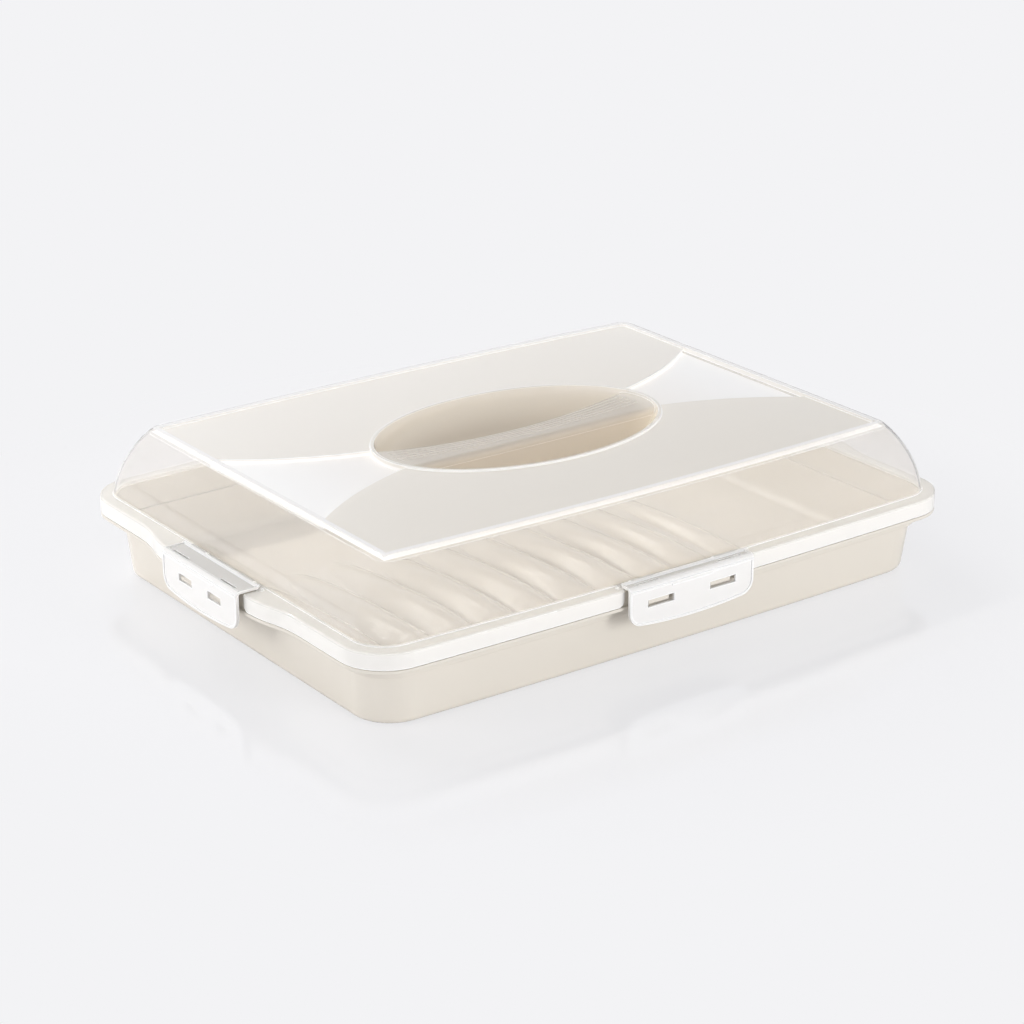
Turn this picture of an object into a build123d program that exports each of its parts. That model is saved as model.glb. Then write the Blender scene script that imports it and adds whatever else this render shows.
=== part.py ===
from build123d import *
from math import asin, cos, degrees, radians, sin, sqrt
import os

os.makedirs("parts", exist_ok=True)

# Pastry box, in millimetres. Origin at the middle of the underside, +X along the long side,
# -Y is the front, +Z is up. A ribbed tray, a clear domed lid and four clips that hinge on the lid.

# Outline shared by the tray wall and the foot of the dome
wall_length = 424.0
wall_width = 310.0
wall_bow = 4.5          # how far the long sides bow out at the rim
dome_corner = 22.0      # corner radius at the foot of the dome
plate_corner = 6.0      # corner radius of the top plate

# Rim: the outermost outline, followed by the lid's skirt and the tray's bead
rim_length = 440.0
rim_width = 327.0
rim_corner = 30.0
rim_bow = 3.5
end_swell = 6.5         # extra width of the rim in the middle of each short end
swell_flat = 45.0       # half length of the full swell
swell_blend = 46.0      # length of each blend back to the straight rim

# Tray
tray_height = 50.5
tray_wall = 2.0
foot_inset = 6.5        # the foot is this much smaller than the wall outline, all round
foot_corner = 26.0
foot_bow = 2.5
foot_edge = 4.0         # rounding of the edge that it stands on
step_height = 34.0      # height where the wall steps out
step_depth = 2.0
upper_draft = 1.5       # how much the upper wall leans out
floor_top = 4.5
floor_fillet = 6.0
ring_width = 9.0        # width of the standing ring under the tray
bead_height = 2.0
skirt_fit = 0.4         # gap between the lid's skirt and the tray's rim

# Ribs on the tray floor: long rounded mounds, side by side, from front to rear
rib_count = 10
rib_pitch = 30.7
first_rib_x = -160.0
rib_rear = 65.0
rib_front = -127.0
rib_half_width = 16.4
rib_height = 8.0
full_ribs = 5           # the ribs after these get narrower and lower, one by one
taper_ribs = 6.5

# Lid
lid_wall = 1.5
seat_gap = 0.3          # between the tray's rim and the flange that lies over it
skirt_depth = 8.9       # how far the skirt hangs below the underside of the flange
flange_edge = 1.2       # rounding where the flange turns down into the skirt
skirt_end_round = 4.0   # rounding of the skirt's lower corners beside each clip
dome_radius = 72.0      # curve of the dome wall, seen from the side
foot_lean = 8.3         # lean of the dome wall at its foot, degrees from upright
shoulder_lean = 46.3    # lean where the wall turns into the shoulder
shoulder_radius = 6.0
wall_steps = 4          # stretches between the sections of the wall, and of the shoulder
shoulder_steps = 4
border_width = 2.6      # raised border round the top plate
border_height = 1.8

# Oval recess with the grip
recess_half_length = 102.0
recess_half_width = 66.0
recess_lip = 2.5
lip_height = 1.2
recess_depth = 26.0
grip_end_half = 20.0    # half width of the grip where it meets the recess
grip_mid_half = 11.5    # half width at its waist
grip_drop = 0.3         # from the plate down to the ends of the grip
grip_sag = 4.5
grip_thickness = 5.0
grip_overhang = 1.5     # how far the grip stands out over the web under it
grip_round = 3.2        # rounding of the grip's upper edges
groove_count = 5        # fine grooves along the grip
groove_width = 0.9
groove_depth = 0.5
groove_end = 10.0       # the grooves stop this far inside the recess
first_groove = 0.7      # place of the rearmost groove, as a share of the grip's half width
last_groove = -0.2      # and of the foremost one

# Fan-shaped valleys between the recess and the short ends of the plate
fan_depth = 3.0
fan_start = 95.0
fan_start_half = 18.0
fan_end_half = 62.0
fan_pinch = 6.0         # how far the fan's edge curves in from a straight line

# Clips and their hinges
clip_wall = 1.6
long_clip_length = 93.0
short_clip_length = 85.0
clip_side_gap = 0.5
rail_radius = 1.0
rail_fit = 0.1
hook_wall = 1.0
rail_from_wall = 3.1    # from the dome's foot out to the middle of the rail
rail_lift = 0.6         # from the flange up to the middle of the rail
lug_length = 2.4        # each rail ends in a lug
hook_length = 17.0
hook_from_end = 7.0
hook_side_gap = 0.6
hook_end_angle = 235.0
cover_end_angle = 80.0
strip_gap = 0.4         # under the strip of a closed clip
flap_clearance = 2.9    # from the rim out to the inner face of the flap
flap_depth = 27.0       # from the top of the clip down to the middle of the flap's lower edge
flap_bow = 3.2          # the flap is this much shorter at its ends
flap_corner = 9.0
clip_edge = 2.6         # rounding of the bend between strip and flap
border_lip = 1.4
border_lip_height = 0.5
stripe_length = 31.0
stripe_height = 2.2
stripe_drop = 4.0       # from the top of the clip down to the middle of the stripe
strip_recess = 0.4      # depth of the panel sunk into the strip
slot_length = 17.0      # one slot through the strip in front of each hook
slot_width = 2.0
window_height = 4.6
window_drop = 12.6      # from the top of the clip down to the middle of the windows
long_window = 19.5
long_window_x = 23.3
short_window = 15.0
short_window_x = 16.7
catch_gap = 0.8         # between a catch and the flap's inner face
catch_height = 3.2
catch_side = 2.2        # how much shorter a catch is than its window, at each end
catch_root = 0.5        # how deep a catch is rooted in the rim

# Heights and places that follow from the sizes above
flange_under = tray_height + seat_gap
flange_top = flange_under + lid_wall
skirt_bottom = flange_under - skirt_depth
bead_top = skirt_bottom - skirt_fit
rail_z = flange_top + rail_lift
hook_radius = rail_radius + rail_fit + hook_wall
rail_y = wall_width / 2 + wall_bow + rail_from_wall
rail_x = wall_length / 2 + rail_from_wall
long_reach = rim_width / 2 + rim_bow + flap_clearance + clip_wall - rail_y
short_reach = rim_length / 2 + end_swell + flap_clearance + clip_wall - rail_x
clip_top = flange_top + strip_gap + clip_wall - rail_z
tall = rim_length       # a length that reaches past the box in any direction
edge_search = 0.01      # edges at a height are looked for this far above and below it


def edges_at(height, edges):
    """The ones among these edges that lie at a height."""
    return edges.filter_by_position(Axis.Z, height - edge_search, height + edge_search)


def bowed_outline(length, width, corner, bow):
    """Draws a rectangle with round corners and bowed long sides in the open sketch."""
    with BuildLine() as sides:
        ThreePointArc((-length / 2, -width / 2), (0, -width / 2 - bow), (length / 2, -width / 2))
        Line((length / 2, -width / 2), (length / 2, width / 2))
        ThreePointArc((length / 2, width / 2), (0, width / 2 + bow), (-length / 2, width / 2))
        Line((-length / 2, width / 2), (-length / 2, -width / 2))
    make_face(sides.edges())
    fillet(vertices(), corner)


def wall_outline(inset, corner, bow):
    """The outline of the tray wall or the dome, moved in by inset."""
    bowed_outline(wall_length - 2 * inset, wall_width - 2 * inset, corner, bow)


def rim_outline(inset):
    """The rim's outline with its swollen short ends, moved in by inset."""
    bowed_outline(rim_length - 2 * inset, rim_width - 2 * inset, rim_corner - inset, rim_bow)
    straight = rim_length / 2 - inset
    swollen = straight + end_swell
    for end in (-1, 1):
        with BuildLine() as swell:
            lead_in = TangentArc(
                (end * straight, -swell_flat - swell_blend),
                (end * (straight + swollen) / 2, -swell_flat - swell_blend / 2),
                tangent=(0, 1),
            )
            TangentArc(lead_in @ 1, (end * swollen, -swell_flat), tangent=lead_in % 1)
            Line((end * swollen, -swell_flat), (end * swollen, swell_flat))
            lead_out = TangentArc(
                (end * swollen, swell_flat),
                (end * (straight + swollen) / 2, swell_flat + swell_blend / 2),
                tangent=(0, 1),
            )
            TangentArc(lead_out @ 1, (end * straight, swell_flat + swell_blend), tangent=lead_out % 1)
            Line(
                (end * straight, swell_flat + swell_blend),
                (end * straight, -swell_flat - swell_blend),
            )
        make_face(swell.edges())


def ring_of_rim(outer_inset, inner_inset, bottom, top):
    """Adds a band that follows the rim between two insets and two heights."""
    with BuildSketch(Plane.XY.offset(bottom)) as band:
        rim_outline(outer_inset)
        with BuildSketch(mode=Mode.SUBTRACT):
            rim_outline(inner_inset)
    extrude(band.sketch, amount=top - bottom)


def arc_sections(radius, start_lean, end_lean, steps, start, depth):
    """Inset and height of evenly spaced sections along an arc of the dome, for the skin at this depth."""
    sections = []
    for step in range(steps + 1):
        lean = radians(start_lean + (end_lean - start_lean) * step / steps)
        inset = start[0] + radius * (cos(radians(start_lean)) - cos(lean))
        height = start[1] + radius * (sin(lean) - sin(radians(start_lean)))
        sections.append((inset + depth * cos(lean), height - depth * sin(lean)))
    return sections


# The wall's arc starts at the underside of the flange, so that the wall runs down into the flange
root_lean = degrees(asin(sin(radians(foot_lean)) - lid_wall / dome_radius))
dome_root = (dome_radius * (cos(radians(foot_lean)) - cos(radians(root_lean))), flange_under)


def dome_sections(depth):
    """Sections of the dome wall and of the shoulder above it, for the skin depth under the outside."""
    wall = arc_sections(dome_radius, root_lean, shoulder_lean, wall_steps, dome_root, 0)
    return (
        arc_sections(dome_radius, root_lean, shoulder_lean, wall_steps, dome_root, depth),
        arc_sections(shoulder_radius, shoulder_lean, 90, shoulder_steps, wall[-1], depth),
    )


dome_outside = dome_sections(0)
dome_inside = dome_sections(lid_wall)
border_inset, border_top = dome_outside[1][-1]
plate_top = border_top - border_height
plate_under = plate_top - lid_wall
fan_floor = plate_top - fan_depth
recess_floor = plate_top - recess_depth
grip_end_top = plate_top - grip_drop


def dome_corner_at(inset):
    """Corner radius of the dome, which shrinks from the foot to the plate."""
    return dome_corner + (plate_corner - dome_corner) * inset / border_inset


def side_plane(angle):
    """Plane on a clip's rail: x along the rim, y up, z outward. Angle 0 is the front."""
    distance = rail_y if angle % 180 == 0 else rail_x
    turn = radians(angle)
    outward = (sin(turn), -cos(turn), 0)
    along = (cos(turn), sin(turn), 0)
    return Plane(
        origin=(distance * outward[0], distance * outward[1], rail_z),
        x_dir=along,
        z_dir=outward,
    )


def across(side):
    """Plane across a rail at its middle: x outward, y up."""
    return Plane(origin=side.origin, x_dir=side.z_dir, z_dir=side.z_dir.cross(side.y_dir))


# Each clip: which way it faces, its length, its windows and how far it reaches out from its rail
clips = {
    "clip_front": (0, long_clip_length, long_window, long_window_x, long_reach),
    "clip_right": (90, short_clip_length, short_window, short_window_x, short_reach),
    "clip_rear": (180, long_clip_length, long_window, long_window_x, long_reach),
    "clip_left": (270, short_clip_length, short_window, short_window_x, short_reach),
}


def rib_size(index):
    """Half width and height of a rib on the tray floor."""
    beyond = max(0, index - full_ribs + 1)
    scale = sqrt(1 - (beyond / taper_ribs) ** 2)
    return rib_half_width * scale, rib_height * scale


def rib_ring(index, skin):
    """Adds a big ring whose topmost stretch is a rib, thinner by skin."""
    half_width, height = rib_size(index)
    half_length = (rib_rear - rib_front) / 2
    cross_radius = (half_width ** 2 + height ** 2) / (2 * height)
    long_radius = (half_length ** 2 + height ** 2) / (2 * height)
    middle = (first_rib_x + index * rib_pitch, (rib_rear + rib_front) / 2, floor_top + height - long_radius)
    with Locations(middle):
        Torus(long_radius - cross_radius, cross_radius - skin, rotation=(0, 90, 0))


# Ribs, and the hollows under them
with BuildPart() as ribs:
    for rib in range(rib_count):
        rib_ring(rib, 0)
    split(bisect_by=Plane.XY.offset(floor_top - tray_wall / 2), keep=Keep.TOP)

with BuildPart() as rib_hollows:
    for rib in range(rib_count):
        rib_ring(rib, tray_wall)
    split(bisect_by=Plane.XY, keep=Keep.TOP)


# Tray: two drafted walls with a step between them, a turned-down rim with a bead, ribs and catches
with BuildPart() as base_tray:
    with BuildSketch(Plane.XY):
        wall_outline(foot_inset, foot_corner, foot_bow)
    with BuildSketch(Plane.XY.offset(step_height)):
        wall_outline(upper_draft + step_depth, foot_corner, wall_bow)
    loft(ruled=True)
    fillet(base_tray.edges().group_by(Axis.Z)[0], foot_edge)
    with BuildSketch(Plane.XY.offset(step_height - tray_wall)):
        wall_outline(upper_draft, foot_corner, wall_bow)
    with BuildSketch(Plane.XY.offset(tray_height)):
        wall_outline(0, dome_corner, wall_bow)
    loft(ruled=True)
    with BuildSketch(Plane.XY.offset(tray_height - tray_wall)):
        rim_outline(lid_wall + skirt_fit)
    extrude(amount=tray_wall)
    ring_of_rim(lid_wall + skirt_fit, lid_wall + skirt_fit + tray_wall, bead_top - bead_height, tray_height)
    ring_of_rim(0, lid_wall + skirt_fit + tray_wall, bead_top - bead_height, bead_top)

    # Inside of the lower wall, with a rounded foot
    with BuildSketch(Plane.XY.offset(floor_top)):
        wall_outline(foot_inset + tray_wall, foot_corner - tray_wall, foot_bow)
    with BuildSketch(Plane.XY.offset(step_height)):
        wall_outline(upper_draft + step_depth + tray_wall, foot_corner - tray_wall, wall_bow)
    loft(ruled=True, mode=Mode.SUBTRACT)
    # Inside of the upper wall
    with BuildSketch(Plane.XY.offset(step_height)):
        wall_outline(upper_draft + tray_wall, foot_corner - tray_wall, wall_bow)
    with BuildSketch(Plane.XY.offset(tray_height)):
        wall_outline(tray_wall, dome_corner - tray_wall, wall_bow)
    loft(ruled=True, mode=Mode.SUBTRACT)
    fillet(edges_at(floor_top, base_tray.edges()), floor_fillet)

    # The floor is raised inside a standing ring, and each rib is hollow below
    with BuildSketch(Plane.XY):
        wall_outline(foot_inset + ring_width, foot_corner - ring_width, foot_bow)
    extrude(amount=floor_top - tray_wall, mode=Mode.SUBTRACT)
    add(ribs.part)
    add(rib_hollows.part, mode=Mode.SUBTRACT)

    # Catches on the rim, one behind each window of each clip
    for angle, length, window, window_x, reach in clips.values():
        side = side_plane(angle)
        root = reach - clip_wall - flap_clearance - lid_wall - skirt_fit - catch_root
        tip = reach - clip_wall - catch_gap
        with BuildSketch(side.offset(root)):
            with Locations((-window_x, clip_top - window_drop), (window_x, clip_top - window_drop)):
                Rectangle(window - 2 * catch_side, catch_height)
        extrude(amount=tip - root)
base_tray.part.label = "base_tray"
export_step(base_tray.part, "parts/base_tray.step")


def annular_sector(inner, outer, start, end):
    """Draws a curved strip between two radii and two angles in the open sketch."""
    with BuildLine() as edge:
        outside = CenterArc((0, 0), outer, start, end - start)
        inside = CenterArc((0, 0), inner, start, end - start)
        Line(outside @ 0, inside @ 0)
        Line(outside @ 1, inside @ 1)
    make_face(edge.edges())


def hook_places(length):
    """Where a clip's two hooks sit along its rail."""
    place = length / 2 - hook_from_end - hook_length / 2
    return (-place, place)


def fan_outline(extra):
    """Draws both fan-shaped valleys in the open sketch, wider by extra."""
    end = wall_length / 2 - border_inset - border_width
    for way in (-1, 1):
        with BuildLine() as fan:
            start_half = fan_start_half + extra
            end_half = fan_end_half + extra
            middle = ((fan_start + end) / 2, (start_half + end_half) / 2 - fan_pinch)
            Line((way * fan_start, -start_half), (way * fan_start, start_half))
            ThreePointArc(
                (way * fan_start, start_half), (way * middle[0], middle[1]), (way * end, end_half)
            )
            Line((way * end, end_half), (way * end, -end_half))
            ThreePointArc(
                (way * end, -end_half), (way * middle[0], -middle[1]), (way * fan_start, -start_half)
            )
        make_face(fan.edges())


def grip_outline(half_at_end, half_at_waist):
    """Draws the grip's waisted outline, seen from above, in the open sketch."""
    with BuildLine() as waist:
        ThreePointArc(
            (-recess_half_length, -half_at_end),
            (0, -half_at_waist),
            (recess_half_length, -half_at_end),
        )
        Line((recess_half_length, -half_at_end), (recess_half_length, half_at_end))
        ThreePointArc(
            (recess_half_length, half_at_end),
            (0, half_at_waist),
            (-recess_half_length, half_at_end),
        )
        Line((-recess_half_length, half_at_end), (-recess_half_length, -half_at_end))
    make_face(waist.edges())


def groove_outline(share):
    """Draws one groove, seen from above, at a share of the grip's half width."""
    with BuildLine() as groove:
        for edge in (-groove_width / 2, groove_width / 2):
            ThreePointArc(
                (-recess_half_length, share * grip_end_half + edge),
                (0, share * grip_mid_half + edge),
                (recess_half_length, share * grip_end_half + edge),
            )
        for end in (-recess_half_length, recess_half_length):
            middle = share * grip_end_half
            Line((end, middle - groove_width / 2), (end, middle + groove_width / 2))
    make_face(groove.edges())


def sagging_slab(top, bottom):
    """Adds a slab over the whole recess; top and bottom are its heights at the ends, where it sags least."""
    with BuildSketch(Plane.XZ) as slab:
        with BuildLine():
            ThreePointArc(
                (-recess_half_length, top), (0, top - grip_sag), (recess_half_length, top)
            )
            Line((recess_half_length, top), (recess_half_length, bottom))
            ThreePointArc(
                (recess_half_length, bottom),
                (0, bottom - grip_sag),
                (-recess_half_length, bottom),
            )
            Line((-recess_half_length, bottom), (-recess_half_length, top))
        make_face()
    extrude(slab.sketch, amount=recess_half_width, both=True)


def recess_space(skin):
    """The finger bowls in front of and behind the grip; skin gives the outline of their underside."""
    with BuildPart() as grip:
        sagging_slab(grip_end_top - skin, grip_end_top - grip_thickness)
        with BuildSketch(Plane.XY) as lip_plan:
            grip_outline(grip_end_half - 2 * skin, grip_mid_half - 2 * skin)
        extrude(lip_plan.sketch, amount=tall, mode=Mode.INTERSECT)
        upper_edges = grip.edges().filter_by(GeomType.LINE, reverse=True).sort_by(Axis.Z)[-2:]
        fillet(upper_edges, grip_round - skin)
    with BuildPart() as web:
        sagging_slab(grip_end_top - grip_thickness, recess_floor - grip_thickness)
        with BuildSketch(Plane.XY) as web_plan:
            grip_outline(grip_end_half - grip_overhang - skin, grip_mid_half - grip_overhang - skin)
        extrude(web_plan.sketch, amount=tall, mode=Mode.INTERSECT)
    with BuildPart() as grooves:
        sagging_slab(grip_end_top, grip_end_top - groove_depth)
        with BuildSketch(Plane.XY) as groove_plan:
            for number in range(groove_count):
                step = (last_groove - first_groove) / (groove_count - 1)
                groove_outline(first_groove + number * step)
            Ellipse(
                recess_half_length - groove_end, recess_half_width - groove_end, mode=Mode.INTERSECT
            )
        extrude(groove_plan.sketch, amount=tall, mode=Mode.INTERSECT)
    with BuildPart() as bowls:
        inner_length = recess_half_length - recess_lip
        inner_width = recess_half_width - recess_lip
        # Share of the bowl's half axes left at each share of its depth
        for depth_share, axis_share in ((-0.2, 1.01), (0, 1.0), (0.45, 0.955), (0.8, 0.86), (1.0, 0.68)):
            height = plate_top - depth_share * recess_depth - skin * depth_share
            with BuildSketch(Plane.XY.offset(height)):
                Ellipse(inner_length * axis_share + skin, inner_width * axis_share + skin)
        loft()
        add(grip.part, mode=Mode.SUBTRACT)
        add(web.part, mode=Mode.SUBTRACT)
        if skin == 0:
            add(grooves.part)
    return bowls.part


def dome(wall_and_shoulder, corner_shift):
    """Adds the solid dome: a smooth wall, and the shoulder as narrow bands."""
    for sections, in_bands in zip(wall_and_shoulder, (False, True)):
        faces = []
        for inset, height in sections:
            with BuildSketch(Plane.XY.offset(height)) as section:
                wall_outline(inset, dome_corner_at(inset) - corner_shift, wall_bow)
            faces.append(section.sketch.faces()[0])
        loft(faces, ruled=in_bands)


# The space under the lid's skin, from the flange up
with BuildPart() as under_lid:
    dome(dome_inside, lid_wall / 2)
    foot_inset_inside, foot_height_inside = dome_inside[0][0]
    with BuildSketch(Plane.XY.offset(flange_under - lid_wall)):
        wall_outline(foot_inset_inside, dome_corner_at(foot_inset_inside) - lid_wall / 2, wall_bow)
    extrude(amount=foot_height_inside - flange_under + lid_wall)
    with BuildSketch(Plane.XY.offset(plate_under)):
        Rectangle(2 * tall, 2 * tall)
    extrude(amount=tall, mode=Mode.SUBTRACT)
    with BuildSketch(Plane.XY.offset(fan_floor - lid_wall)):
        fan_outline(lid_wall)
    extrude(amount=tall, mode=Mode.SUBTRACT)
    add(recess_space(lid_wall), mode=Mode.SUBTRACT)

# Lid: flange and skirt over the rim, barrel-curved dome, bordered plate, fans, recess and grip
with BuildPart() as lid:
    with BuildSketch(Plane.XY.offset(flange_under)):
        rim_outline(0)
    extrude(amount=lid_wall)
    ring_of_rim(0, lid_wall, skirt_bottom, flange_top)
    fillet(lid.edges().group_by(Axis.Z)[-1], flange_edge)
    dome(dome_outside, 0)
    with BuildSketch(Plane.XY.offset(plate_top)):
        wall_outline(border_inset + border_width, plate_corner - border_width / 2, wall_bow)
    extrude(amount=tall, mode=Mode.SUBTRACT)
    with BuildSketch(Plane.XY.offset(fan_floor)):
        fan_outline(0)
        Ellipse(recess_half_length, recess_half_width, mode=Mode.SUBTRACT)
    extrude(amount=tall, mode=Mode.SUBTRACT)
    with BuildSketch(Plane.XY.offset(fan_floor)):
        Ellipse(recess_half_length, recess_half_width)
        Ellipse(recess_half_length - recess_lip, recess_half_width - recess_lip, mode=Mode.SUBTRACT)
    extrude(amount=plate_top + lip_height - fan_floor)
    add(under_lid.part, mode=Mode.SUBTRACT)
    add(recess_space(0), mode=Mode.SUBTRACT)

    # Each clip has a notch in the skirt, a rail on the flange between two lugs, and gaps for its hooks
    for angle, length, window, window_x, reach in clips.values():
        side = side_plane(angle)
        notch = length + 2 * clip_side_gap
        with BuildSketch(side.offset(hook_radius + rail_fit)):
            Rectangle(notch, tall)
        extrude(amount=tall, mode=Mode.SUBTRACT)
        with BuildSketch(side):
            with Locations((-(notch + lug_length) / 2, 0), ((notch + lug_length) / 2, 0)):
                Rectangle(lug_length, 2 * rail_lift)
            with Locations((0, -rail_lift / 2)):
                Rectangle(notch, rail_lift)
        extrude(amount=rail_radius / 2, both=True)
        with BuildSketch(side):
            with Locations([(place, 0) for place in hook_places(length)]):
                Rectangle(hook_length + 2 * hook_side_gap, 2 * (rail_z - flange_under))
        extrude(amount=hook_radius + 2 * rail_fit, both=True, mode=Mode.SUBTRACT)
        with BuildSketch(across(side)):
            Circle(rail_radius)
        extrude(amount=notch / 2 + lug_length, both=True)
    # Round the skirt's lower corners beside the clips: the short edges across its thickness
    skirt_foot = edges_at(skirt_bottom, lid.edges())
    skirt_ends = skirt_foot.filter_by(lambda edge: edge.length < 1.2 * lid_wall)
    fillet(skirt_ends, skirt_end_round)
lid.part.label = "lid"
export_step(lid.part, "parts/lid.step")


def clip_outline(length, top):
    """Draws a clip as seen from outside, up to top: bowed lower edge, round lower corners."""
    half = length / 2
    middle_low = clip_top - flap_depth
    end_low = middle_low + flap_bow
    with BuildLine() as outline:
        ThreePointArc((-half, end_low), (0, middle_low), (half, end_low))
        Line((half, end_low), (half, top))
        Line((half, top), (-half, top))
        Line((-half, top), (-half, end_low))
    make_face(outline.edges())
    fillet(vertices().group_by(Axis.Y)[0], flap_corner)


def build_clip(angle, length, window, window_x, reach):
    """A clip: strip over the flange, flap down outside the rim, hooks round the rail."""
    side = side_plane(angle)
    inner = rail_radius + rail_fit
    strip_start = inner + rail_fit
    half = length / 2
    windows = [(way * window_x, clip_top - window_drop) for way in (-1, 1)]
    with BuildPart() as clip:
        # Strip and flap, with a rounded bend between them
        with BuildSketch(across(side)):
            with BuildLine():
                Polyline(
                    (strip_start, clip_top),
                    (reach, clip_top),
                    (reach, clip_top - flap_depth),
                    (reach - clip_wall, clip_top - flap_depth),
                    (reach - clip_wall, clip_top - clip_wall),
                    (strip_start, clip_top - clip_wall),
                    close=True,
                )
            make_face()
            fillet(vertices().group_by(Axis.X)[1].sort_by(Axis.Y)[-1], clip_edge - clip_wall)
            fillet(vertices().group_by(Axis.X)[-1].sort_by(Axis.Y)[-1], clip_edge)
        extrude(amount=half, both=True)
        with BuildSketch(side):
            clip_outline(length, clip_top)
        extrude(amount=tall, both=True, mode=Mode.INTERSECT)
        # A cover over the whole rail, and two hooks that go on round it
        with BuildSketch(across(side)):
            annular_sector(inner, hook_radius, 0, cover_end_angle)
        extrude(amount=half, both=True)
        for place in hook_places(length):
            with BuildSketch(across(side).offset(-place)):
                annular_sector(inner, hook_radius, 0, hook_end_angle)
            extrude(amount=hook_length / 2, both=True)
        # Raised border and stripe on the flap
        with BuildSketch(side.offset(reach)):
            clip_outline(length, clip_top - clip_edge)
            offset(amount=-border_lip, mode=Mode.SUBTRACT)
            with Locations((0, clip_top - stripe_drop)):
                Rectangle(stripe_length, stripe_height)
        extrude(amount=border_lip_height)
        with BuildSketch(side.offset(reach)):
            with Locations(windows):
                Rectangle(window, window_height)
        extrude(amount=clip_wall, both=True, mode=Mode.SUBTRACT)
        # Sunk panel in the strip, with a slot through it in front of each hook; -y is outward here
        strip_plane = Plane(side.origin + Vector(0, 0, clip_top), x_dir=side.x_dir, z_dir=(0, 0, 1))
        panel_start = hook_radius + rail_fit
        panel_end = reach - clip_edge
        with BuildSketch(strip_plane):
            with Locations((0, -(panel_start + panel_end) / 2)):
                Rectangle(length - 2 * border_lip, panel_end - panel_start)
        extrude(amount=-strip_recess, mode=Mode.SUBTRACT)
        with BuildSketch(strip_plane):
            with Locations([(place, -panel_end + slot_width / 2) for place in hook_places(length)]):
                SlotOverall(slot_length, slot_width)
        extrude(amount=-clip_wall, mode=Mode.SUBTRACT)
    return clip.part


for name, details in clips.items():
    part = build_clip(*details)
    part.label = name
    export_step(part, f"parts/{name}.step")
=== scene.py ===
# %% [markdown]
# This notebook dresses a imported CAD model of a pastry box: a cream tray, a clear domed lid and
# four milky clips. Every solid of the CAD model keeps its shape. What Blender adds is the look
# of three kinds of moulded polypropylene, and a plain studio to see them in.

# %% Load the frame
import math

import bpy
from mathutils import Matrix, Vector


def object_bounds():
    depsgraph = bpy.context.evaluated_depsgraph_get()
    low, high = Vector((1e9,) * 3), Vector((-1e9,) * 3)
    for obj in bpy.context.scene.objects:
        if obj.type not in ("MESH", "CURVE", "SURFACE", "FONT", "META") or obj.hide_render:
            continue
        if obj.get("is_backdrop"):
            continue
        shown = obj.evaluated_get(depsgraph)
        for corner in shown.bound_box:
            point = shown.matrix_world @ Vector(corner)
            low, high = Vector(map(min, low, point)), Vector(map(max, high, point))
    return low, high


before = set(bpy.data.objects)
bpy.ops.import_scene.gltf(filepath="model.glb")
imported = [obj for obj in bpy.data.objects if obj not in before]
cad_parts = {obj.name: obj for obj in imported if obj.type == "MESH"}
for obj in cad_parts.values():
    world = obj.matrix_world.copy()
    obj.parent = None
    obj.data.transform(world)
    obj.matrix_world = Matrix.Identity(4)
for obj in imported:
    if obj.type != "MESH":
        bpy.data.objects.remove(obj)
cad_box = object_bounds()
low, high = Vector(cad_box[0]), Vector(cad_box[1])
print("box in mm", [round(1000 * v, 1) for v in high - low])

# %% [markdown]
# The camera comes first, because everything else is judged through it. A product photograph of
# a low, wide box is taken from well back with a long lens, so that its edges stay nearly
# parallel. The angles were read from the box's own straight edges: the camera stands a good
# third of the way round from the front to the left side, looks down a little, and aims slightly
# to the left of the box's middle.

# %% Camera
MM = 0.001
CAMERA_AZIMUTH = -36.16
CAMERA_HEIGHT_ANGLE = 21.38
CAMERA_DISTANCE = 1678.0 * MM
CAMERA_TARGET = Vector((-15.5, -14.4, 45.0)) * MM
LENS = 94.64
SENSOR = 36.0


def towards(azimuth, height_angle):
    """Unit vector from the box to a place round it: azimuth 0 is the front, 90 is to the right."""
    turn, rise = math.radians(azimuth), math.radians(height_angle)
    flat = math.cos(rise)
    return Vector((math.sin(turn) * flat, -math.cos(turn) * flat, math.sin(rise)))


def aim(thing, place, target):
    """Puts a camera or a lamp at a place and turns it to a target."""
    thing.location = place
    thing.rotation_euler = (target - place).to_track_quat("-Z", "Y").to_euler()


camera_data = bpy.data.cameras.new("camera")
camera_data.lens = LENS
camera_data.sensor_width = SENSOR
camera = bpy.data.objects.new("camera", camera_data)
bpy.context.collection.objects.link(camera)
camera_side = towards(CAMERA_AZIMUTH, CAMERA_HEIGHT_ANGLE)
aim(camera, CAMERA_TARGET + CAMERA_DISTANCE * camera_side, CAMERA_TARGET)
bpy.context.scene.camera = camera
print("camera at", [round(v, 3) for v in camera.location])

# %% [markdown]
# Two small helpers serve every material. Colours are written as the eye sees them on a screen,
# in hex, but Blender counts light in linear values, so one function turns one into the other.
# The other function adds a node: its settings are given by name, and each input is either a
# value or the output of another node.

# %% Helpers for materials
def srgb(text):
    """Turns a hex colour such as F3F3F5 into linear red, green, blue and full alpha."""
    channels = [int(text[i : i + 2], 16) / 255 for i in (0, 2, 4)]
    return [c / 12.92 if c <= 0.04045 else ((c + 0.055) / 1.055) ** 2.4 for c in channels] + [1.0]


def add(tree, kind, inputs=None, **settings):
    """Adds a node with its settings; an input is a value, or the output socket it is linked to."""
    node = tree.nodes.new(kind)
    for name, value in settings.items():
        setattr(node, name, value)
    for name, value in (inputs or {}).items():
        if isinstance(value, bpy.types.NodeSocket):
            tree.links.new(value, node.inputs[name])
        else:
            node.inputs[name].default_value = value
    return node


def new_material(name):
    """An empty node material and its tree."""
    material = bpy.data.materials.new(name)
    material.use_nodes = True
    material.node_tree.nodes.clear()
    return material, material.node_tree


# The Mix node keeps sockets for every type of value, so those for colours are picked by number.
COLOUR_A, COLOUR_B, COLOUR_OUT = 6, 7, 2


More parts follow.
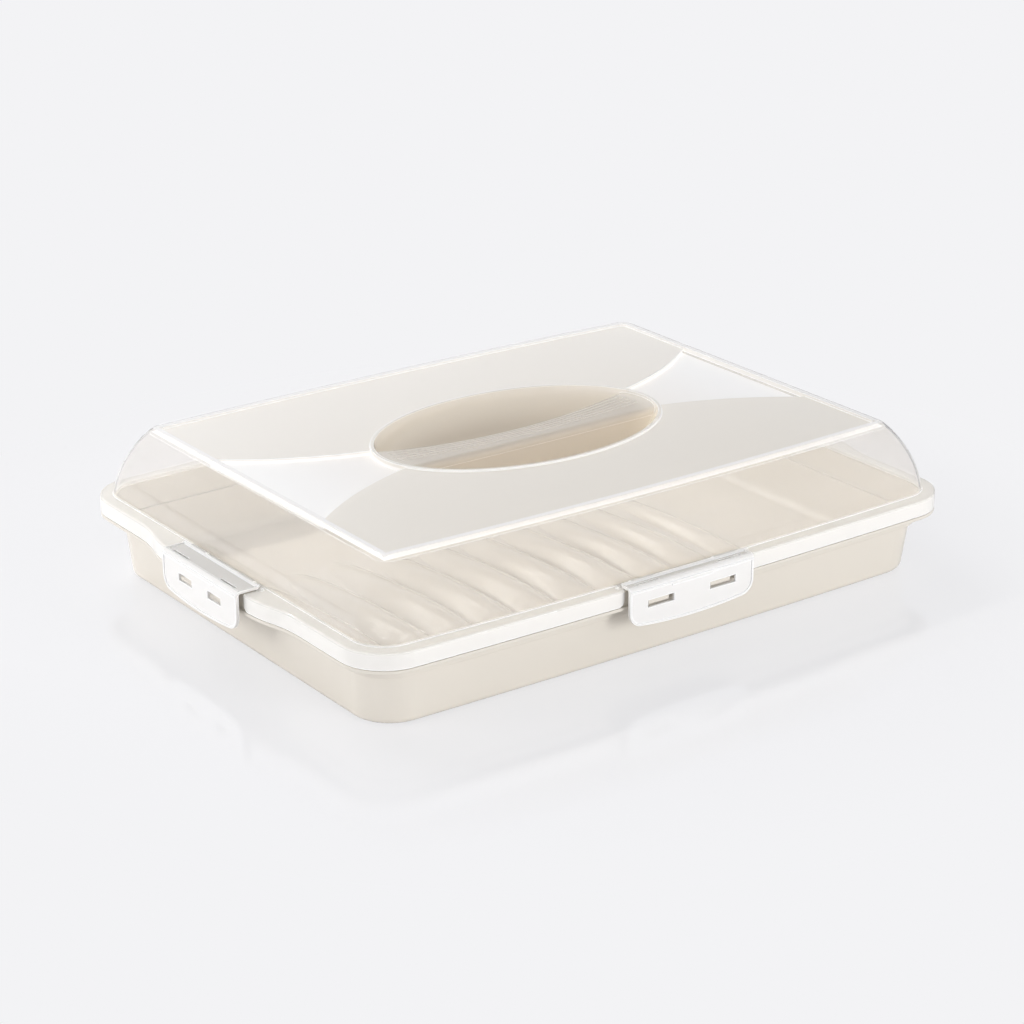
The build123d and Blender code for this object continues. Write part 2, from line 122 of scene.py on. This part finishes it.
def blend_colour(tree, factor, first, second):
    """Goes from one colour to another as the factor goes from 0 to 1."""
    node = add(
        tree,
        "ShaderNodeMix",
        {"Factor": factor, COLOUR_A: first, COLOUR_B: second},
        data_type="RGBA",
    )
    return node.outputs[COLOUR_OUT]


def blend_value(tree, factor, first, second):
    """Goes from one number to another as the factor goes from 0 to 1."""
    node = add(tree, "ShaderNodeMapRange", {"Value": factor, "To Min": first, "To Max": second})
    return node.outputs["Result"]


def mix_shaders(tree, factor, first, second):
    """Goes from one shader to another as the factor goes from 0 to 1."""
    return add(tree, "ShaderNodeMixShader", {0: factor, 1: first, 2: second}).outputs["Shader"]


CREAM = ("DDD7CC", "E1DBD1")
print("cream", [round(c, 3) for c in srgb(CREAM[1])])

# %% [markdown]
# The tray is injection-moulded polypropylene, coloured cream in the mass. Steel moulds for such
# trays are lightly spark-eroded, which leaves a grain of a few tenths of a millimetre: too fine
# to see one by one, it softens reflections. The plastic also flows out from the gate while it
# sets, which leaves slow, broad changes in gloss. A picture could hold both, but noise textures
# work at any distance and on any shape. The real grain is finer than a pixel here, so it is
# drawn several times coarser, and very shallow.

# %% Cream polypropylene
POLYPROPYLENE_IOR = 1.49
GRAIN_DRAWN, GRAIN_DETAIL = 1.4 * MM, 3.0
GRAIN_STRENGTH, GRAIN_DEPTH = 0.05, 0.05 * MM
FLOW_LENGTH, FLOW_DETAIL = 90 * MM, 2.0
FLOW_LOW, FLOW_HIGH = 0.3, 0.7
GLOSSIEST, DULLEST = 0.09, 0.12
EDGE_ROUNDING, ROUNDING_SAMPLES = 0.5 * MM, 6


def bevel_normal(tree, radius, samples):
    """Normals that turn softly over each edge, over this radius."""
    return add(tree, "ShaderNodeBevel", {"Radius": radius}, samples=samples).outputs["Normal"]


def rounded_edges(tree):
    """The small rounding that every moulded edge has."""
    return bevel_normal(tree, EDGE_ROUNDING, ROUNDING_SAMPLES)


def noise(tree, place, length, detail):
    """Random values between 0 and 1 that change over about this length."""
    inputs = {"Vector": place, "Scale": 1 / length, "Detail": detail}
    return add(tree, "ShaderNodeTexNoise", inputs).outputs["Fac"]


def cream_polypropylene():
    """Tray plastic: cream, softly glossy, with mould grain and flow marks."""
    material, tree = new_material("polypropylene_cream_moulded")
    place = add(tree, "ShaderNodeTexCoord").outputs["Object"]
    flow = noise(tree, place, FLOW_LENGTH, FLOW_DETAIL)
    gloss = add(
        tree,
        "ShaderNodeMapRange",
        {
            "Value": flow,
            "From Min": FLOW_LOW,
            "From Max": FLOW_HIGH,
            "To Min": GLOSSIEST,
            "To Max": DULLEST,
        },
    )
    relief = add(
        tree,
        "ShaderNodeBump",
        {
            "Height": noise(tree, place, GRAIN_DRAWN, GRAIN_DETAIL),
            "Strength": GRAIN_STRENGTH,
            "Distance": GRAIN_DEPTH,
            "Normal": rounded_edges(tree),
        },
    )
    plastic = add(
        tree,
        "ShaderNodeBsdfPrincipled",
        {
            "Base Color": blend_colour(tree, flow, srgb(CREAM[0]), srgb(CREAM[1])),
            "Roughness": gloss.outputs["Result"],
            "IOR": POLYPROPYLENE_IOR,
            "Normal": relief.outputs["Normal"],
        },
    )
    add(tree, "ShaderNodeOutputMaterial", {"Surface": plastic.outputs["BSDF"]})
    return material


def dress(node, material):
    """Gives every slot of a CAD node this material."""
    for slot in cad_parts[node].material_slots:
        slot.material = material
    print(node, "wears", material.name)


dress("base_tray", cream_polypropylene())

# %% [markdown]
# The lid is one moulding of clear polypropylene. Unlike glass or acrylic, clear polypropylene
# always keeps a little milk in it, because it sets partly as tiny crystals. Thin, quickly
# cooled walls stay clear, and places with a moulded satin finish or more plastic look white. On
# the real lid the dome walls are clear, the top plate is satin, the fans beside the recess are
# whiter still, and the skirt is nearly white. Light and shade are also painted in: the plate is
# painted lighter towards the rear, the fans get a painted highlight that grows whiter towards
# their ends, the finger bowls get painted shade that makes them deeper cream towards their
# middle, and the border and the sharp edges get a painted white highlight. One material with
# soft masks does this better than several materials would: the parts of a moulding run into
# each other with no seam. A mask is a value between 0 and 1, so it takes a little arithmetic.

# %% Arithmetic for masks
def smooth_step(tree, value, start, end):
    """A mask that goes softly from 0 at start to 1 at end."""
    node = add(
        tree,
        "ShaderNodeMapRange",
        {"Value": value, "From Min": start, "From Max": end},
        interpolation_type="SMOOTHSTEP",
    )
    return node.outputs["Result"]


def calculate(tree, operation, first, second=0.0):
    """One step of arithmetic on one or two values or outputs."""
    return add(tree, "ShaderNodeMath", {0: first, 1: second}, operation=operation).outputs["Value"]


def multiply(tree, first, second):
    """The product of two values or outputs; for masks, the place where both are."""
    return calculate(tree, "MULTIPLY", first, second)


def squared_share(tree, value, whole):
    """The value as a share of the whole, squared."""
    return calculate(tree, "POWER", calculate(tree, "DIVIDE", value, whole), 2.0)


# %% [markdown]
# The masks are worked out from the place on the lid, in the lid's own coordinates, so that they
# go with it when it lifts off. The top plate is a rectangle whose long sides are bowed, and the
# recess is an ellipse. The fans, the flange and the skirt are told apart by their height.

# %% Places on the lid
PLATE_HALF_LENGTH = 187.0 * MM
PLATE_HALF_WIDTH = 130.0 * MM
BORDER_WIDTH = 3.2 * MM
PLATE_BOW = 4.5 * MM
RECESS_HALF_LENGTH = 102 * MM
RECESS_HALF_WIDTH = 66 * MM
PLATE_LEVEL = 86 * MM
FAN_LEVEL = 92.4 * MM
FLANGE_TOP = 52.4 * MM
SKIRT_TOP = 50.6 * MM
SOFT = 0.6 * MM
BOWL_INNER, BOWL_EDGE, BOWL_OUTER = 0.60, 0.93, 0.97


def below(tree, value, limit):
    """A mask of everything under a limit, with a soft border."""
    return smooth_step(tree, value, limit + SOFT, limit)


def top_plate(tree, from_middle, bowed, inset):
    """A mask of the top plate with its two bowed long sides, or of what lies inside a border."""
    return multiply(
        tree,
        below(tree, from_middle, PLATE_HALF_LENGTH - inset),
        below(tree, bowed, PLATE_HALF_WIDTH + PLATE_BOW - inset),
    )


def lid_masks(tree):
    """Masks of the lid's regions, worked out from the place on the lid."""
    place = add(tree, "ShaderNodeTexCoord").outputs["Object"]
    axes = add(tree, "ShaderNodeSeparateXYZ", {"Vector": place})
    x, y, z = (axes.outputs[axis] for axis in "XYZ")
    from_middle = calculate(tree, "ABSOLUTE", x)
    bow = multiply(tree, squared_share(tree, x, PLATE_HALF_LENGTH), PLATE_BOW)
    bowed = calculate(tree, "ADD", calculate(tree, "ABSOLUTE", y), bow)
    high_up = smooth_step(tree, z, PLATE_LEVEL - SOFT, PLATE_LEVEL)
    plate = multiply(tree, top_plate(tree, from_middle, bowed, 0), high_up)
    inside_border = top_plate(tree, from_middle, bowed, BORDER_WIDTH)
    across = squared_share(tree, x, RECESS_HALF_LENGTH)
    deep = squared_share(tree, y, RECESS_HALF_WIDTH)
    ellipse = calculate(tree, "ADD", across, deep)
    return {
        "plate": plate,
        "fan": multiply(tree, plate, below(tree, z, FAN_LEVEL)),
        # fan_end, rear and bowl_rim below are gradients of painted light and shade.
        "fan_end": smooth_step(tree, from_middle, RECESS_HALF_LENGTH, PLATE_HALF_LENGTH),
        "rear": smooth_step(tree, y, -PLATE_HALF_WIDTH, PLATE_HALF_WIDTH),
        "border": multiply(tree, plate, calculate(tree, "SUBTRACT", 1.0, inside_border)),
        "bowl": smooth_step(tree, ellipse, BOWL_OUTER, BOWL_EDGE),
        "bowl_rim": smooth_step(tree, ellipse, BOWL_INNER, BOWL_EDGE),
        "flange": below(tree, z, FLANGE_TOP),
        "skirt": below(tree, z, SKIRT_TOP),
    }


# %% [markdown]
# The outline of such a box looks drawn with a white pen: every edge of the clear plastic
# catches a highlight. Here that highlight is painted: the edges are painted white and milky.
# The edges can be found with the Bevel node. It turns the surface normal softly over each
# sharp edge, so where it differs from the true normal there is an edge.

# %% Painted edge highlights
EDGE_WIDTH, EDGE_SAMPLES = 1.3 * MM, 8
FLAT_FROM, EDGE_FROM = 0.995, 0.93


def painted_edge_highlights(tree):
    """A mask of all sharp edges, where a white highlight is painted."""
    turned = bevel_normal(tree, EDGE_WIDTH, EDGE_SAMPLES)
    plain = add(tree, "ShaderNodeNewGeometry").outputs["Normal"]
    alike = add(tree, "ShaderNodeVectorMath", {0: turned, 1: plain}, operation="DOT_PRODUCT")
    alike = calculate(tree, "ABSOLUTE", alike.outputs["Value"])
    return smooth_step(tree, alike, FLAT_FROM, EDGE_FROM)


# %% [markdown]
# A thin plastic sheet reflects like thick plastic, but it hardly bends the light that goes
# through it, because its two faces are parallel. A mesh has flat facets that aren't quite
# parallel, and at the real refractive index they would make the view through the lid wavy. So
# the body of the sheet gets an index close to 1, and the real index goes to a clear coat on
# top, which gives the reflections. Lamps shine straight through: for their rays, the plastic is
# simply a faint filter.

# %% Thin sheet of milky plastic
THIN_BODY_IOR = 1.04
COAT_ROUGHNESS = 0.04


def thin_sheet(tree, colour, milk, roughness, coat):
    """Shader of a thin plastic sheet: how milky it is, how it blurs the view, how glossy it is."""
    return add(
        tree,
        "ShaderNodeBsdfPrincipled",
        {
            "Base Color": colour,
            "Roughness": roughness,
            "IOR": THIN_BODY_IOR,
            "Transmission Weight": calculate(tree, "SUBTRACT", 1.0, milk),
            "Coat Weight": coat,
            "Coat Roughness": COAT_ROUGHNESS,
            "Coat IOR": POLYPROPYLENE_IOR,
            "Normal": rounded_edges(tree),
            "Coat Normal": rounded_edges(tree),
        },
    ).outputs["BSDF"]


# %% [markdown]
# Now the lid's plastic can be put together. It starts out as the clear wall. Each region is
# then laid over it in turn, with its own tint, its own milk and its own blur. Where two regions
# overlap the later one wins, so the painted edge highlights come last. Three regions go from
# one tint to another, and this is painted light and shade: the plate is painted lighter towards
# the rear, the fans whiter towards their ends, and the bowls darker towards their middle.

# %% Clear polypropylene
# Milk goes from 0, which is clear, to 1, which lets nothing through. Blur is a roughness.
MILK = {
    "plate": 0.84,
    "fan": 0.92,
    "bowl": 0.72,
    # The milk of the border and of the edges is part of their painted white highlight.
    "border": 0.95,
    "flange": 0.62,
    "skirt": 0.90,
    "edge": 0.98,
}
BLUR = {"plate": 0.30, "bowl": 0.12, "flange": 0.12}
CLEAR_COLOUR, CLEAR_MILK, CLEAR_BLUR = "F6F5F4", 0.13, 0.0
FILTER_COLOUR = "FBFAF8"
PLATE_COAT = 0.45
# How much of the painted edge highlight shows inside the bowls.
BOWL_EDGE_STRENGTH = 0.35
# Tints; the border and edge whites are painted highlights, and the two tints of the plate, fans and
# bowls paint light and shade.
TINTS_AND_PAINTED_LIGHT = {
    "plate": ("EAE6DF", "F1EEE9"),
    "fan": ("FAF8F6", "FFFFFF"),
    "bowl": ("D4CCC1", "E1DBD1"),
    "border": "FCFBFA",
    "flange": "EFEDE9",
    "skirt": "F0EEEA",
    "edge": "FFFFFF",
}
# The mask along which a region goes from its first tint to its second: painted light or shade.
PAINTED_LIGHT_ACROSS = {"plate": "rear", "fan": "fan_end", "bowl": "bowl_rim"}


def clear_polypropylene():
    """Lid plastic: clear walls, satin plate, white skirt, bowls in painted shade, painted
    highlights.
    """
    material, tree = new_material("polypropylene_clear_moulded")
    mask = lid_masks(tree)
    # Painted white highlight on every sharp edge, weaker in the bowls.
    edge_strength = blend_value(tree, mask["bowl"], 1.0, BOWL_EDGE_STRENGTH)
    mask["edge"] = multiply(tree, painted_edge_highlights(tree), edge_strength)
    colour, milk, blur = srgb(CLEAR_COLOUR), CLEAR_MILK, CLEAR_BLUR
    for region, tint in TINTS_AND_PAINTED_LIGHT.items():
        if region in PAINTED_LIGHT_ACROSS:
            tint = blend_colour(tree, mask[PAINTED_LIGHT_ACROSS[region]], srgb(tint[0]), srgb(tint[1]))
        else:
            tint = srgb(tint)
        colour = blend_colour(tree, mask[region], colour, tint)
        milk = blend_value(tree, mask[region], milk, MILK[region])
        if region in BLUR:
            blur = blend_value(tree, mask[region], blur, BLUR[region])
    coat = blend_value(tree, mask["plate"], 1.0, PLATE_COAT)
    coat = blend_value(tree, mask["bowl"], coat, 1.0)
    open_to_lamps = add(tree, "ShaderNodeBsdfTransparent", {"Color": srgb(FILTER_COLOUR)})
    to_lamp = add(tree, "ShaderNodeLightPath").outputs["Is Shadow Ray"]
    plastic = thin_sheet(tree, colour, milk, blur, coat)
    surface = mix_shaders(tree, to_lamp, plastic, open_to_lamps.outputs["BSDF"])
    add(tree, "ShaderNodeOutputMaterial", {"Surface": surface})
    return material


dress("lid", clear_polypropylene())

# %% [markdown]
# The clips are the same polypropylene without any colour, called natural. They are about as
# thick as the lid, but they have to bend at every use, so they are moulded in a tougher and
# milkier grade. The eye reads them as white, and the windows and slots show by their edges
# alone, which are painted with a white highlight.

# %% Natural polypropylene
STRIP_LEVEL = 53 * MM
TILTED, LEVEL = 0.90, 0.97
STRIP_MILK, FLAP_MILK = 0.60, 0.88
NATURAL = ("F4F2EF", "F8F7F5")
CLIP_FLOW_LENGTH = FLOW_LENGTH / 4
CLIP_BLUR = (0.20, 0.28)


def natural_polypropylene():
    """Clip plastic: milky white flap, clearer strip, painted white highlights on the edges."""
    material, tree = new_material("polypropylene_natural_moulded")
    source = add(tree, "ShaderNodeTexCoord")
    place, normal = source.outputs["Object"], source.outputs["Normal"]
    height = add(tree, "ShaderNodeSeparateXYZ", {"Vector": place}).outputs["Z"]
    facing = add(tree, "ShaderNodeSeparateXYZ", {"Vector": normal}).outputs["Z"]
    level = smooth_step(tree, calculate(tree, "ABSOLUTE", facing), TILTED, LEVEL)
    high_up = smooth_step(tree, height, STRIP_LEVEL - SOFT, STRIP_LEVEL)
    edge = painted_edge_highlights(tree)
    flow = noise(tree, place, CLIP_FLOW_LENGTH, FLOW_DETAIL)
    colour = blend_colour(tree, flow, srgb(NATURAL[0]), srgb(NATURAL[1]))
    # Painted white highlight on every sharp edge.
    colour = blend_colour(tree, edge, colour, srgb("FFFFFF"))
    milk = blend_value(tree, multiply(tree, level, high_up), FLAP_MILK, STRIP_MILK)
    milk = blend_value(tree, edge, milk, 1.0)
    plastic = thin_sheet(tree, colour, milk, blend_value(tree, flow, *CLIP_BLUR), 1.0)
    add(tree, "ShaderNodeOutputMaterial", {"Surface": plastic})
    return material


milky = natural_polypropylene()
for clip in ("clip_front", "clip_right", "clip_rear", "clip_left"):
    dress(clip, milky)

# %% [markdown]
# A product photograph of a pale object stands on a pale sweep of acrylic sheet, which keeps a
# faint mirror image of the object and hardly any shadow. Far from the box the sheet is simply
# one even colour. A light that evened it out would bleach the box, so the evenness comes from
# the sheet's own material: for the camera, most of its light is a plain glow of the right
# colour, and only the rest is lit like any surface. It shows the soft shadow near the box, and
# for everything else in the scene it is an ordinary pale sheet.

# %% Pale sheet that the box stands on
SHEET_COLOUR = srgb("F3F3F5")
SHEET_HALF = 8.0
SHEET_BELOW = 0.2 * MM
LIT_SHARE, LIT_LEVEL = 0.25, 1.10
MIRROR_SHARE, MIRROR_ROUGHNESS = 0.09, 0.10
NEAR, FAR = 0.26, 0.42
WHITE = [1.0, 1.0, 1.0, 1.0]


def pale_sheet_material():
    """Acrylic sheet: even for the camera, a real surface for light."""
    material, tree = new_material("acrylic_sheet_pale")
    place = add(tree, "ShaderNodeTexCoord").outputs["Object"]
    distance = add(tree, "ShaderNodeVectorMath", {0: place}, operation="LENGTH").outputs["Value"]
    near = smooth_step(tree, distance, FAR, NEAR)
    evened = [channel * LIT_LEVEL for channel in SHEET_COLOUR[:3]] + [1.0]
    lit = add(tree, "ShaderNodeBsdfDiffuse", {"Color": evened}).outputs["BSDF"]
    glow = add(tree, "ShaderNodeEmission", {"Color": SHEET_COLOUR, "Strength": 1.0})
    glow = glow.outputs["Emission"]
    mirror = add(tree, "ShaderNodeBsdfGlossy", {"Color": WHITE, "Roughness": MIRROR_ROUGHNESS})
    mirror = mirror.outputs["BSDF"]
    shadowed = mix_shaders(tree, multiply(tree, near, LIT_SHARE), glow, lit)
    mirrored = mix_shaders(tree, multiply(tree, near, MIRROR_SHARE), shadowed, mirror)
    seen = add(tree, "ShaderNodeLightPath").outputs["Is Camera Ray"]
    surface = mix_shaders(tree, seen, lit, mirrored)
    add(tree, "ShaderNodeOutputMaterial", {"Surface": surface})
    return material


around = ((-1, -1), (1, -1), (1, 1), (-1, 1))
corners = [(SHEET_HALF * x, SHEET_HALF * y, 0) for x, y in around]
sheet_mesh = bpy.data.meshes.new("sheet")
sheet_mesh.from_pydata(corners, [], [(0, 1, 2, 3)])
sheet = bpy.data.objects.new("sheet", sheet_mesh)
sheet.location = (0, 0, low.z - SHEET_BELOW)
bpy.context.collection.objects.link(sheet)
sheet_mesh.materials.append(pale_sheet_material())
sheet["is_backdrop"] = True

# %% [markdown]
# The light is a few soft boxes in an even pale room. The room gives every surface its own
# colour, and it is what the plastic mirrors. For light that falls on things it is much brighter
# round the sides than overhead, because the box is mostly seen by its low walls. Wide boxes to
# the left and in front light the two sides that face the camera, but they are kept out of
# mirrors, where they would leave white patches. High behind hangs a narrow, brighter strip that
# mirrors do show. Only surfaces that lean the right way catch it: the ribs of the tray, the
# finger bowls and the grip.

# %% Room and soft boxes
ROOM_COLOUR = srgb("F3F3F5")
ROOM_SIDES, ROOM_TOP = 1.05, 0.22


def soft_box(name, azimuth, height_angle, distance, width, height, power, mirrored=False):
    """A rectangular area lamp aimed at the middle of the box, seen in mirrors only if asked."""
    data = bpy.data.lights.new(name, "AREA")
    data.shape = "RECTANGLE"
    data.size, data.size_y = width, height
    data.energy = power
    data.cycles.use_multiple_importance_sampling = False
    lamp = bpy.data.objects.new(name, data)
    lamp.visible_glossy = mirrored
    bpy.context.collection.objects.link(lamp)
    middle = (low + high) / 2
    aim(lamp, middle + distance * towards(azimuth, height_angle), middle)
    print(name, power, "W")


def pale_room():
    """World with one even colour for the eye, but brighter sides than top for the light it gives."""
    world = bpy.data.worlds.new("room")
    world.use_nodes = True
    tree = world.node_tree
    tree.nodes.clear()
    path = add(tree, "ShaderNodeLightPath").outputs
    seen = calculate(tree, "MAXIMUM", path["Is Camera Ray"], path["Is Glossy Ray"])
    seen = calculate(tree, "MAXIMUM", seen, path["Is Transmission Ray"])
    direction = add(tree, "ShaderNodeTexCoord").outputs["Generated"]
    rise = add(tree, "ShaderNodeSeparateXYZ", {"Vector": direction}).outputs["Z"]
    given = blend_value(tree, rise, ROOM_SIDES, ROOM_TOP)
    strength = blend_value(tree, seen, given, 1.0)
    room = add(tree, "ShaderNodeBackground", {"Color": ROOM_COLOUR, "Strength": strength})
    add(tree, "ShaderNodeOutputWorld", {"Surface": room.outputs["Background"]})
    return world


bpy.context.scene.world = pale_room()
bpy.context.scene.view_settings.view_transform = "Standard"

# Name, azimuth, height angle, distance, width and height in metres, power in watts.
soft_box("soft_box_left", -108, 18, 1.8, 1.0, 0.8, 12.5)
soft_box("soft_box_front", 14, 12, 2.0, 0.6, 0.8, 16.5)
soft_box("strip_light_rear", -175, 43, 1.6, 1.3, 0.12, 10.0, mirrored=True)

# %% [markdown]
# Last comes a comparison. Blender must not change the object's size, so the box round the dressed
# model is compared with the box of the CAD model, and the largest change is printed.

# %% Sizes and finish
dressed_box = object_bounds()
changes = [abs(a - b) for p, q in zip(cad_box, dressed_box) for a, b in zip(p, q)]
print("largest change in mm", max(changes) / MM)
